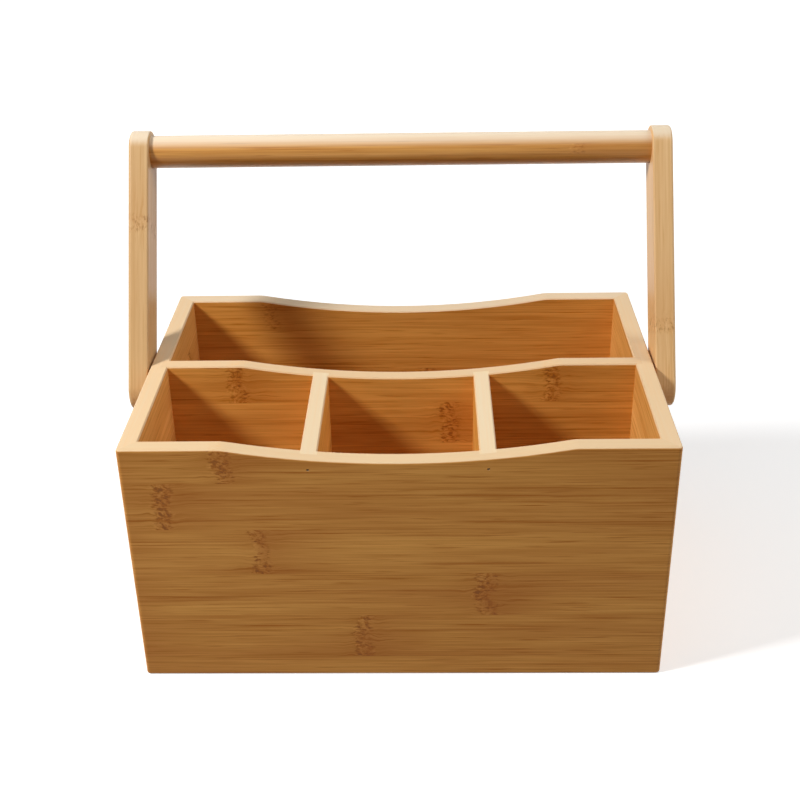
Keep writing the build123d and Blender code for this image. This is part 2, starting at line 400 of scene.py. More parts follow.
@dataclass(frozen=True)
class Knuckle:
    """What all knuckles of the bamboo have in common.

    Attributes:
        line: The noise that bends a knuckle's line as a whole.
        line_reach: How far it does.
        ragged: The noise that moves the line from fibre to fibre.
        ragged_reach: How far it does.
        core: How far from the line the broken wood starts to fade, and ends.
        halo: The same for the bent fibres about it.
        tail_start: Where the darker tail comes in, past the line.
        tail_end: Where it starts to fade, and ends.
    """

    line: Waves = Waves(25.0, 70.0)
    line_reach: float = 6 * MM
    ragged: Waves = Waves(60.0, 900.0)
    ragged_reach: float = 3.5 * MM
    core: tuple[float, float] = (2.2 * MM, 5.6 * MM)
    halo: tuple[float, float] = (3.0 * MM, 20 * MM)
    tail_start: tuple[float, float] = (-4 * MM, 5 * MM)
    tail_end: tuple[float, float] = (5 * MM, 45 * MM)

    def near(self, r: Recipe, along: Socket, own: Socket, place: Socket) -> tuple[Socket, Socket, Socket]:
        """How near a knuckle is.

        Args:
            r: The material's nodes.
            along: The place along the board.
            own: The place in the lamination's own pattern.
            place: The knuckle's place, as a share of the board's reach.

        Returns:
            How much the surface is in the knuckle, near it, and in its tail. Each is from 0 to 1.
        """
        away = r.maths("SUBTRACT", along, r.swing(place, BOARD_REACH))
        away = r.maths("ADD", away, r.swing(self.line.at(r, own), self.line_reach))
        away = r.maths("ADD", away, r.swing(self.ragged.at(r, own), self.ragged_reach))
        distance = r.maths("ABSOLUTE", away)
        core = r.smooth(distance, *self.core, 1.0, 0.0)
        halo = r.smooth(distance, *self.halo, 1.0, 0.0)
        tail = r.maths("MULTIPLY", r.smooth(away, *self.tail_start), r.smooth(away, *self.tail_end, 1.0, 0.0))
        return core, halo, tail


@dataclass(frozen=True)
class Pattern:
    """What all the bamboo has in common: the noises along its grain, and how much each of them darkens it.

    Attributes:
        own_shift: How far apart two neighbouring laminations lie in the noises.
        swirl: The noise that bends the fibres at a knuckle.
        swirl_reach: How far it does.
        bands: Broad bands of darker and lighter fibres.
        patches: Warmer patches.
        fibres: Single fibres.
        streaks: Long dark streaks.
        streak_range: The noise's values where a streak starts, and where it is full.
        dashes: Short dark dashes.
        dash_range: The same for a dash.
        flecks: The broken-up wood in a knuckle.
        pit_range: Its values where a dark pit starts, and where it is full.
        seam: How wide the line between two laminations is, to each side.
        seam_range: The bands' values where a seam starts to grow stronger, and where it is full.
        seam_show: How strong it is at those.
        middle: How dark the wood is with every noise at its middle, from 0 to 1.
        band_weight: How much the bands change that, over their whole range.
        tone_weight: How much the lamination's tone does.
        fibre_weight: How much the fibres do.
        streak_weight: How much darker a streak is.
        dash_weight: How much darker a dash is.
        seam_weight: How much darker a seam is.
        halo_weight: How much darker the wood is near a knuckle.
        fleck_weight: How much the flecks change it in a knuckle.
        fleck_shade: How much darker they make it on the whole.
        pit_weight: How deep the colour of a pit is.
        warmth: How red the wood is on the whole, from 0 to 1.
        patch_weight: How much the patches change that, over their whole range.
        knuckle_warmth: How much redder the wood is in a knuckle or its tail.
        edge_lines: How dark the pale edges are on the whole, over the fibres' range, and in a knuckle.
        fibre_range: The fibres' values where the wood is at its smoothest, and at its roughest.
        roughness: How rough it is at those.
        sheen: How much the bare wood shines, and how rough the lacquer over it is.
        relief: How high the fibres stand out, as a bump.
        bump: How much of that bump shows.
        knuckle_dip: How deep the broken wood of a knuckle lies, as a share of the relief.
    """

    own_shift: float = 1.37
    swirl: Waves = Waves(90.0, 170.0)
    swirl_reach: float = 3 * MM
    bands: Waves = Waves(5.0, 130.0)
    patches: Waves = Waves(9.0, 45.0)
    fibres: Waves = Waves(16.0, 900.0, 3.0, 0.6)
    streaks: Waves = Waves(9.0, 520.0)
    streak_range: tuple[float, float] = (0.57, 0.72)
    dashes: Waves = Waves(36.0, 1100.0, 1.0)
    dash_range: tuple[float, float] = (0.60, 0.74)
    flecks: Waves = Waves(330.0, 700.0, 2.0, 0.7)
    pit_range: tuple[float, float] = (0.53, 0.66)
    seam: float = 0.35 * MM
    seam_range: tuple[float, float] = (0.35, 0.65)
    seam_show: tuple[float, float] = (0.1, 0.9)
    middle: float = 0.415
    band_weight: float = 0.75
    tone_weight: float = 0.7
    fibre_weight: float = 1.4
    streak_weight: float = 0.42
    dash_weight: float = 0.46
    seam_weight: float = 0.3
    halo_weight: float = 0.1
    fleck_weight: float = 5.5
    fleck_shade: float = 0.1
    pit_weight: float = 0.5
    warmth: float = 0.1
    patch_weight: float = 0.9
    knuckle_warmth: float = 0.3
    edge_lines: tuple[float, float, float] = (0.09, 0.4, 0.25)
    fibre_range: tuple[float, float] = (0.2, 0.8)
    roughness: tuple[float, float] = (0.42, 0.56)
    sheen: tuple[float, float] = (0.2, 0.3)
    relief: float = 0.08 * MM
    bump: float = 0.25
    knuckle_dip: float = 0.5


KNUCKLE = Knuckle()
PATTERN = Pattern()


@dataclass(frozen=True)
class Bamboo:
    """Laminated bamboo under a satin lacquer.

    Attributes:
        name: The material's name.
        grain: Which way the fibres run.
        strips: The laminations from the lowest up. Their knuckles are in metres along the board.
        pitch: The width of a lamination.
        first: Where the second lamination starts, across the board.
        seed: Moves the pattern, so that no two boards are alike.
        tones: The bamboo's colours.
        edges: Which faces take the pale edge colour: on a board the strips' pale edges, on the bar a painted
            highlight, and on the arms' ends partly a painted highlight.
        turn: How far the pattern is turned about X, in radians, for a piece that leans.
        centre: Where the pattern's middle is.
        lacquer: How thick the coat of lacquer looks.
    """

    name: str
    grain: Grain
    strips: tuple[Strip, ...]
    pitch: float = 25.5 * MM
    first: float = 11.5 * MM
    seed: float = 0.0
    tones: Tones = INNER_PAINTED_LIT_TONES
    edges: PaleEdgesAndHighlights = PaleEdgesAndHighlights.RIM
    turn: float = 0.0
    centre: tuple[float, float, float] = (0.0, 0.0, 0.0)
    lacquer: float = 0.05

    def axes(self, r: Recipe, place: Socket) -> tuple[Socket, Socket, Socket]:
        """The place along, across and through the board.

        Args:
            r: The material's nodes.
            place: Where the surface is.

        Returns:
            The three distances from the pattern's middle, in metres.
        """
        shift = Matrix.Rotation(self.turn, 3, "X") @ -Vector(self.centre)
        inputs = {"Vector": place, "Location": shift, "Rotation": (self.turn, 0.0, 0.0)}
        parts = r.split(r.node("Mapping", inputs).outputs[0])
        along, across, through = (parts[letter] for letter in self.grain.value)
        return along, across, through

    def laminations(self, r: Recipe, along: Socket, across: Socket,
                    through: Socket) -> tuple[Socket, Socket, tuple[Socket, ...]]:
        """The pattern of the lamination that a place is in, and its knuckles.

        Each lamination reads the noises at a place of its own, and its tone and knuckles from a row of steps.

        Args:
            r: The material's nodes.
            along: The place along the board.
            across: The place across it.
            through: The place through it.

        Returns:
            The lamination's tone, its place along the noises, and how much the surface is in a knuckle, near
            one and in a knuckle's tail.
        """
        count = float(len(self.strips))
        place = r.maths("DIVIDE", r.maths("SUBTRACT", across, self.first - self.pitch), self.pitch * count)
        tone, first, second, strength = r.steps(place, [strip.values() for strip in self.strips])
        number = r.maths("FLOOR", r.maths("MULTIPLY", place, count))
        shifted = r.maths("ADD", along, r.maths("MULTIPLY_ADD", number, PATTERN.own_shift, self.seed))
        own = r.joined(shifted, across, through)
        pairs = zip(KNUCKLE.near(r, along, own, first), KNUCKLE.near(r, along, own, second))
        shares = tuple(r.maths("MULTIPLY", r.maths("MAXIMUM", *pair), strength) for pair in pairs)
        return tone, shifted, shares

    def seams(self, r: Recipe, across: Socket, bands: Socket) -> Socket:
        """The thin dark lines between laminations, from 0 to 1, which are stronger in the lighter bands."""
        from_seam = r.maths("WRAP", r.maths("SUBTRACT", across, self.first), self.pitch / 2, -self.pitch / 2)
        line = r.smooth(r.maths("ABSOLUTE", from_seam), 0.0, PATTERN.seam, 1.0, 0.0)
        return r.maths("MULTIPLY", line, r.smooth(bands, *PATTERN.seam_range, *PATTERN.seam_show))

    def material(self) -> bpy.types.Material:
        """Builds the material.

        Along each lamination run broad bands, fine fibres and a few dark streaks and dashes, which are
        noises stretched along the grain. Their sum says how dark the wood is, between the tones' light and
        dark. At a knuckle the fibres bend, the wood is redder, and it is broken up into small dark and light
        flecks. Faces that look up or down take the pale edge colour, with the fibres faintly in it: on a
        board's rim that is the strips' pale edges, on the bar's top it is a painted highlight, and on the arms'
        rounded ends it is partly end grain and partly a painted highlight.

        Returns:
            The material.
        """
        r = Recipe(bpy.data.materials.new(self.name))
        texture = r.node("TexCoord")
        along, across, through = self.axes(r, texture.outputs["Object"])
        tone, shifted, (at, near, tail) = self.laminations(r, along, across, through)

        swirl = r.swing(PATTERN.swirl.at(r, r.joined(shifted, across, through)), PATTERN.swirl_reach)
        place = r.joined(shifted, r.maths("ADD", across, r.maths("MULTIPLY", swirl, near)), through)
        bands = PATTERN.bands.at(r, place)
        fibres = PATTERN.fibres.at(r, place)
        flecks = PATTERN.flecks.at(r, place)
        streaks = r.smooth(PATTERN.streaks.at(r, place), *PATTERN.streak_range)
        dashes = r.smooth(PATTERN.dashes.at(r, place), *PATTERN.dash_range)
        seam = self.seams(r, across, bands)
        broken = r.maths("ADD", r.swing(flecks, PATTERN.fleck_weight / 2), PATTERN.fleck_shade)
        broken = r.maths("MULTIPLY", broken, at)

        dark = r.maths("SUBTRACT", PATTERN.middle, r.swing(bands, PATTERN.band_weight / 2))
        dark = r.maths("SUBTRACT", dark, r.swing(tone, PATTERN.tone_weight / 2))
        dark = r.maths("ADD", dark, r.swing(fibres, PATTERN.fibre_weight / 2))
        for line, weight in ((streaks, PATTERN.streak_weight), (dashes, PATTERN.dash_weight),
                             (seam, PATTERN.seam_weight), (near, PATTERN.halo_weight), (broken, 1.0)):
            dark = r.maths("ADD", dark, r.maths("MULTIPLY", line, weight))
        face = r.mixed(dark, self.tones.light, self.tones.dark)
        warm = r.maths("ADD", r.swing(PATTERN.patches.at(r, place), PATTERN.patch_weight / 2), PATTERN.warmth)
        warm = r.maths("MULTIPLY_ADD", r.maths("ADD", at, tail), PATTERN.knuckle_warmth, warm)
        face = r.mixed(warm, face, self.tones.red)
        pits = r.maths("MULTIPLY", r.smooth(flecks, *PATTERN.pit_range, 0.0, PATTERN.pit_weight), at)
        face = r.mixed(pits, face, PIT_COLOUR)

        shade, weight, knuckle_weight = PATTERN.edge_lines
        lines = r.maths("ADD", r.swing(fibres, weight / 2), shade)
        lines = r.maths("MULTIPLY_ADD", r.maths("ABSOLUTE", broken), knuckle_weight, lines)
        edge = r.mixed(lines, self.tones.edge, self.tones.light)
        # Faces that look up or down take the pale edge colour: the strips' pale edges on a board's rim, a
        # painted highlight along the bar, and partly a painted highlight at the arms' ends.
        upright = r.maths("ABSOLUTE", r.split(texture.outputs["Normal"])["Z"])
        colour = r.mixed(r.smooth(upright, *self.edges.value), face, edge)

        rough = r.smooth(fibres, *PATTERN.fibre_range, *PATTERN.roughness)
        height = r.maths("SUBTRACT", r.maths("MULTIPLY", broken, -PATTERN.knuckle_dip), fibres)
        inputs = {"Height": height, "Strength": PATTERN.bump, "Distance": PATTERN.relief}
        bump = r.node("Bump", inputs).outputs[0]
        bare, coat = PATTERN.sheen
        return r.finished(Base_Color=colour, Roughness=rough, Normal=bump, Specular_IOR_Level=bare,
                          Coat_Weight=self.lacquer, Coat_Roughness=coat)


@dataclass(frozen=True)
class Steel:
    """Plated or plain steel, with a fine uneven sheen.

    Attributes:
        name: The material's name.
        colour: The bright colour.
        dull: The colour of its duller spots.
        roughness: How matt it is.
        mottle: How many spots a metre has along each axis.
        spot_range: The mottle's values where a spot starts, and where it is full.
        sheen_range: Its values where the steel is at its smoothest, and at its roughest.
        sheen: How much smoother and rougher than the roughness it is at those.
        scratches: How many scratches a metre has along each axis.
        relief: How deep they are, as a bump.
        bump: How much of that bump shows.
    """

    name: str
    colour: Colour
    dull: Colour
    roughness: float
    mottle: tuple[float, float, float] = (900.0, 900.0, 900.0)
    spot_range: tuple[float, float] = (0.35, 0.7)
    sheen_range: tuple[float, float] = (0.25, 0.75)
    sheen: tuple[float, float] = (-0.06, 0.08)
    scratches: tuple[float, float, float] = (600.0, 6000.0, 2500.0)
    relief: float = 0.03 * MM
    bump: float = 0.2

    def material(self) -> bpy.types.Material:
        """Builds the material: a fine mottle between the two colours, and faint scratches in the bump.

        Returns:
            The material.
        """
        r = Recipe(bpy.data.materials.new(self.name))
        place = r.node("TexCoord").outputs["Object"]
        mottle = r.noise(place, self.mottle, detail=3.0, rough=0.6)
        colour = r.mixed(r.smooth(mottle, *self.spot_range), self.colour, self.dull)
        rough = r.smooth(mottle, *self.sheen_range, *(self.roughness + step for step in self.sheen))
        scratches = r.noise(place, self.scratches)
        inputs = {"Height": scratches, "Strength": self.bump, "Distance": self.relief}
        bump = r.node("Bump", inputs).outputs[0]
        return r.finished(Base_Color=colour, Roughness=rough, Normal=bump, Metallic=1.0)


# ---------------------------------------------------------------- the box


@dataclass
class Box:
    """The glued-up box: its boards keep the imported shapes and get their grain, laminations and knuckles.

    Attributes:
        high: How light a light lamination is.
        low: How light a dark one is.
    """

    high: float = 0.62
    low: float = 0.42

    def boards(self) -> dict[str, Bamboo]:
        """The finish of each board, by node.

        Returns:
            The finishes.
        """
        high, low = self.high, self.low
        front = (Strip(0.5), Strip(low, -17.8 * MM), Strip(0.5, 41.6 * MM), Strip(high, -67.4 * MM),
                 Strip(0.5, -111 * MM), Strip(low, -82 * MM))
        middle = (Strip(0.5), Strip(low, 96 * MM), Strip(0.5, -31 * MM), Strip(high, 102 * MM),
                  Strip(0.55, 25 * MM), Strip(0.5, -85 * MM, 78 * MM), Strip(0.5))
        back = (Strip(0.5), Strip(0.5, 64 * MM), Strip(low, -102 * MM), Strip(0.55, 12 * MM),
                Strip(0.5), Strip(0.45, -76 * MM, strength=0.4))
        side = (Strip(0.5), Strip(high, 30 * MM), Strip(0.5, -46 * MM), Strip(low), Strip(0.55, 52 * MM),
                Strip(0.5))
        turned_over = side[::-1]
        return {
            # The partition, back board, dividers, base and sides take tones painted lighter than the front
            # board's: painted light inside the box.
            "front_board": Bamboo("front bamboo", Grain.ALONG_X, front, seed=0.3, tones=FRONT_TONES),
            "back_board": Bamboo("back bamboo", Grain.ALONG_X, back, seed=2.1, tones=BACK_TONES),
            "long_partition": Bamboo("partition bamboo", Grain.ALONG_X, middle, first=8.5 * MM, seed=3.7),
            "left_side_board": Bamboo("left side bamboo", Grain.ALONG_Y, side, seed=5.2, tones=SIDE_PAINTED_LIT_TONES),
            "right_side_board": Bamboo("right side bamboo", Grain.ALONG_Y, turned_over, seed=6.9,
                                       tones=SIDE_PAINTED_LIT_TONES),
            "left_divider": Bamboo("left divider bamboo", Grain.ALONG_Y, turned_over, seed=8.4,
                                   tones=DIVIDER_TONES),
            "right_divider": Bamboo("right divider bamboo", Grain.ALONG_Y, side, seed=9.6,
                                    tones=DIVIDER_TONES),
            "base_panel": Bamboo("base bamboo", Grain.FLAT_X, middle, first=-60 * MM, seed=11.3,
                                 edges=PaleEdgesAndHighlights.NONE),
            "spline_front_left": Bamboo("spline bamboo", Grain.ALONG_Z, (Strip(), Strip()), seed=12.5),
        }

    def dress(self) -> None:
        """Gives each board its finish. The four splines share one."""
        materials = {name: finish.material() for name, finish in self.boards().items()}
        for name in ("spline_front_right", "spline_back_left", "spline_back_right"):
            materials[name] = materials["spline_front_left"]
        for name, material in materials.items():
            node = frame["nodes"][name]
            node.data.materials.clear()
            node.data.materials.append(material)
            log.info("dressed %s", name)


# ---------------------------------------------------------------- the handle


@dataclass
class Handle:
    """The bar between its two arms, drawn upright over the pivot and then leant back as it is left standing.

    Attributes:
        width: Across an arm.
        outer_round: The rounding of an arm's outer edges.
        inner_round: The rounding of its inner edges.
        bar_radius: The grip's radius.
        socket: How deep the bar sits in the arms.
        pivot_hole: The radius of the hole that the arm turns on.
        sink_radius: The radius of the sunk seat round the pivot screw's head.
        sink_depth: How deep that is.
        flush_radius: The radius of the bar screw's head.
        flush_rim: How deep the straight wall over its cone is.
        screw_hole: The radius of the bar screw's hole.
        break_edge: How much the rim of each hole is broken.
        pilot: How deep the screw's hole goes into the bar's end.
        bar_edge: The rounding of the bar's ends.
        straight: How far past the pivot's middle the arm's straight stretch starts, as a share of its width.
        ring: How many chords a full turn has.
    """

    width: float = 22 * MM
    outer_round: float = 1.5 * MM
    inner_round: float = 0.9 * MM
    bar_radius: float = 8.5 * MM
    socket: float = 3 * MM
    pivot_hole: float = 2.18 * MM
    sink_radius: float = 6.6 * MM
    sink_depth: float = 4.6 * MM
    flush_radius: float = 3.9 * MM
    flush_rim: float = 0.3 * MM
    screw_hole: float = 2.0 * MM
    break_edge: float = 0.25 * MM
    pilot: float = 27 * MM
    bar_edge: float = 0.8 * MM
    straight: float = 1.3
    ring: int = 96

    def __post_init__(self) -> None:
        """Reads the pivot, the reach, the lean and where the arms are from the frame."""
        self.pivot = np.array(frame["joints"][0]["pos_m"])
        low, high = (np.array(corner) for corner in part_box("handle_bar"))
        top = (low + high) / 2 - self.pivot
        self.reach = float(math.hypot(top[1], top[2]))
        self.lean = float(math.atan2(top[1], top[2]))
        low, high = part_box("right_handle_arm")
        self.arm_inner, self.thickness = float(low.x), float(high.x - low.x)

    def leant(self, grid: np.ndarray) -> np.ndarray:
        """Turns upright points about the pivot: y' = y cos + z sin and z' = z cos - y sin, plus the pivot.

        Args:
            grid: Points with the pivot at their origin.

        Returns:
            The points where they are on the object.
        """
        x, y, z = np.moveaxis(grid, -1, 0)
        cos, sin = math.cos(self.lean), math.sin(self.lean)
        return np.stack([x, y * cos + z * sin, z * cos - y * sin], axis=-1) + self.pivot

    def loop(self, way: np.ndarray, swapped: np.ndarray) -> np.ndarray:
        """A closed way round the arm: the pivot's half, and then the bar's, which is it turned half round.

        Args:
            way: Points (y, z) round the pivot's half.
            swapped: The same, with the two ends' sizes swapped.

        Returns:
            The points of the whole way, with the first one repeated at the end.
        """
        other = np.array([0.0, self.reach]) - swapped
        return np.concatenate([way, other, way[:1]])

    def half_way(self) -> tuple[np.ndarray, np.ndarray, np.ndarray, np.ndarray, np.ndarray]:
        """The pivot's half of the way round an arm, for its outside and for the way round its holes.

        First comes a full turn about the hole, clockwise from straight up. On the far side the outside
        turns with it about the same centre. On the near sides the outside is a straight edge, where the
        height of the centre that it is drawn from grows as the sine of the angle. Then comes the straight
        run up to the other end.

        Returns:
            The turn's angles, the height of the outside's centre, its direction outwards, the hole's
            direction, and how far along the line between the two holes each step is, from 0 to 1.
        """
        angles = np.radians(np.linspace(90, -270, self.ring + 1))
        hole = np.stack([np.cos(angles), np.sin(angles)], axis=-1)
        near = hole[:, 1] > TINY
        sign = np.where(np.arange(len(angles)) < self.ring / 2, 1.0, -1.0)
        clear = self.straight * self.width
        centre = np.where(near, clear * hole[:, 1], 0.0)
        out = np.where(near[:, None], np.stack([sign, 0 * sign], axis=-1), hole)
        share = np.linspace(0, 1, 9)[1:-1]
        straight = np.ones_like(share)
        centre = np.concatenate([centre, clear + share * (self.reach - 2 * clear)])
        out = np.concatenate([out, np.stack([-straight, 0 * straight], axis=-1)])
        hole = np.concatenate([hole, np.stack([0 * straight, straight], axis=-1)])
        share = np.concatenate([0 * angles, share])
        return angles, centre, out, hole, share

    def arm_section(self) -> list[tuple[float, float]]:
        """The arm's skin from its outer face to its inner one, with quarter rounds at both edges.

        Returns:
            Points (distance from the middle line, x).
        """
        half, thick, outer, inner = self.width / 2, self.thickness, self.outer_round, self.inner_round
        edge, sweep = self.break_edge, np.linspace(0, math.pi / 2, ROUND_STEPS)
        section = [(half - outer - edge, thick)]
        section += zip(half - outer * (1 - np.sin(sweep)), thick - outer * (1 - np.cos(sweep)))
        section += [(half, thick - outer - edge), (half, inner + edge)]
        section += zip(half - inner * (1 - np.cos(sweep)), inner * (1 - np.sin(sweep)))
        return section + [(half - inner - edge, 0.0)]

    def arm_holes(self) -> tuple[list[tuple[float, float]], list[tuple[float, float]]]:
        """The walls of the arm's two holes, from its outer face to its inner one, with broken rims.

        Returns:
            Points (x, r) of the pivot's hole and sunk seat, and of the bar's socket and its screw's cone.
        """
        thick, edge = self.thickness, self.break_edge
        seat = thick - self.sink_depth
        pivot = [(thick, self.sink_radius + edge), (thick - edge, self.sink_radius)]
        pivot += [(seat, self.sink_radius), (seat, self.pivot_hole)]
        pivot += [(edge, self.pivot_hole), (0.0, self.pivot_hole + edge)]
        cone = thick - self.flush_rim - (self.flush_radius - self.screw_hole)
        socket = [(thick, self.flush_radius + edge), (thick - edge, self.flush_radius)]
        socket += [(thick - self.flush_rim, self.flush_radius), (cone, self.screw_hole)]
        socket += [(self.socket, self.screw_hole), (self.socket, self.bar_radius)]
        socket += [(edge, self.bar_radius), (0.0, self.bar_radius + edge)]
        return pivot, socket

    def arm(self, side: Side, material: bpy.types.Material) -> bpy.types.Object:
        """One arm: a strip with round ends, a sunk seat and pivot hole at one end and a socket at the other.

        Its skin is the section carried round the way of half_way, and it starts and ends at the holes. The
        holes' walls are profiles turned about their centres.

        Args:
            side: Which end of the box.
            material: Its finish.

        Returns:
            The arm.
        """
        angles, centre, out, hole, share = self.half_way()
        end = np.array([0.0, self.reach])

        def at(way: np.ndarray, x: float) -> np.ndarray:
            """Points (y, z) at one x."""
            return np.concatenate([np.full((len(way), 1), x), way], axis=-1)

        def round_holes(pivot: float, bar: float) -> np.ndarray:
            """The way round the holes: their rims, joined by the middle line."""
            near = (1 - share)[:, None] * pivot * hole + share[:, None] * (end - [0, bar])
            far = (1 - share)[:, None] * bar * hole + share[:, None] * (end - [0, pivot])
            return self.loop(near, far)

        def round_outside(distance: float) -> np.ndarray:
            """The way round at a distance from the middle line."""
            way = np.stack([0 * centre, centre], axis=-1) + distance * out
            return self.loop(way, way)

        pivot_hole, socket = (np.array(wall) for wall in self.arm_holes())
        rows = [at(round_holes(pivot_hole[0, 1], socket[0, 1]), self.thickness)]
        rows += [at(round_outside(distance), x) for distance, x in self.arm_section()]
        rows += [at(round_holes(pivot_hole[-1, 1], socket[-1, 1]), 0.0)]
        socket_wall = turned(socket, angles + math.pi) + [0, 0, self.reach]
        shell = Shell()
        for grid in (np.stack(rows), turned(pivot_hole, angles), socket_wall):
            shell.grid(self.leant((grid + [self.arm_inner, 0, 0]) * [side.value, 1, 1]))
        name = f"{side.name.lower()}_handle_arm"
        return self.finished(shell.piece(name + ".dressed", material), name, "bamboo_handle")

    def bar(self, material: bpy.types.Material) -> bpy.types.Object:
        """The grip: half of its profile (x, r), from the screw's hole to the middle, and its mirror image.

        Args:
            material: Its finish.

        Returns:
            The bar.
        """
        end = self.arm_inner + self.socket
        edge, radius, hole = self.bar_edge, self.bar_radius, self.screw_hole
        sweep = np.linspace(0, math.pi / 2, ROUND_STEPS)
        bottom = end - self.pilot
        half = [(bottom, 0.0), (bottom + hole, hole), (end, hole), (end, radius - 2 * edge)]
        half += zip(end - edge * (1 - np.cos(sweep)), radius - edge * (1 - np.sin(sweep)))
        half += [(x, radius) for x in np.linspace(end - 2 * edge, 0, 12)]
        profile = np.concatenate([half, np.array(half[-2::-1]) * [-1, 1]])
        shell = Shell()
        shell.grid(self.leant(turned(profile, full_turn(self.ring)) + [0, 0, self.reach]))
        return self.finished(shell.piece("handle_bar.dressed", material), "handle_bar", "bamboo_handle")

    def finished(self, piece: bpy.types.Object, node: str, slot: str) -> bpy.types.Object:
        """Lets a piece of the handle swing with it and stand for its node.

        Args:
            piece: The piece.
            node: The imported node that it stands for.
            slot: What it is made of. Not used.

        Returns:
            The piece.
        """
        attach(piece, "handle")
        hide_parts(node)
        return piece

    def build(self) -> list[bpy.types.Object]:
        """Makes the two arms and the bar.

        Returns:
            The pieces.
        """
        pieces = []
        # The right arm's tones are painted lighter than the left's: painted light. Each arm's rounded ends take
        # the pale edge colour, which is partly end grain and partly a painted highlight.
        for side, knuckle, seed, tones in ((Side.LEFT, 84.8 * MM, 20.0, LEFT_ARM_TONES),
                                           (Side.RIGHT, 31 * MM, 23.0, RIGHT_ARM_PAINTED_LIT_TONES)):
            middle = (side.value * (self.arm_inner + self.thickness / 2), *self.pivot[1:])
            strips = (Strip(0.5, knuckle, strength=0.7), Strip(0.56, knuckle, strength=0.7))
            finish = Bamboo(f"{side.name.lower()} arm bamboo", Grain.ALONG_Z, strips, first=0.0,
                            pitch=self.thickness / 2, seed=seed, tones=tones, edges=PaleEdgesAndHighlights.CROWN,
                            turn=self.lean, centre=middle, lacquer=0.2)
            pieces.append(self.arm(side, finish.material()))
        strips = (Strip(0.5), Strip(0.45, 92 * MM, strength=0.4), Strip(0.58), Strip(0.5))
        top = self.leant(np.array([0.0, 0.0, self.reach]))
        # The bar's pale colour where it faces up is a painted highlight along its top.
        finish = Bamboo("bar bamboo", Grain.ALONG_X, strips, pitch=5 * MM, first=-5 * MM, seed=27.0,
                        tones=BAR_TONES, edges=PaleEdgesAndHighlights.ROUND, turn=self.lean, centre=tuple(top),
                        lacquer=0.5)
        pieces.append(self.bar(finish.material()))
        return pieces


# ---------------------------------------------------------------- hardware


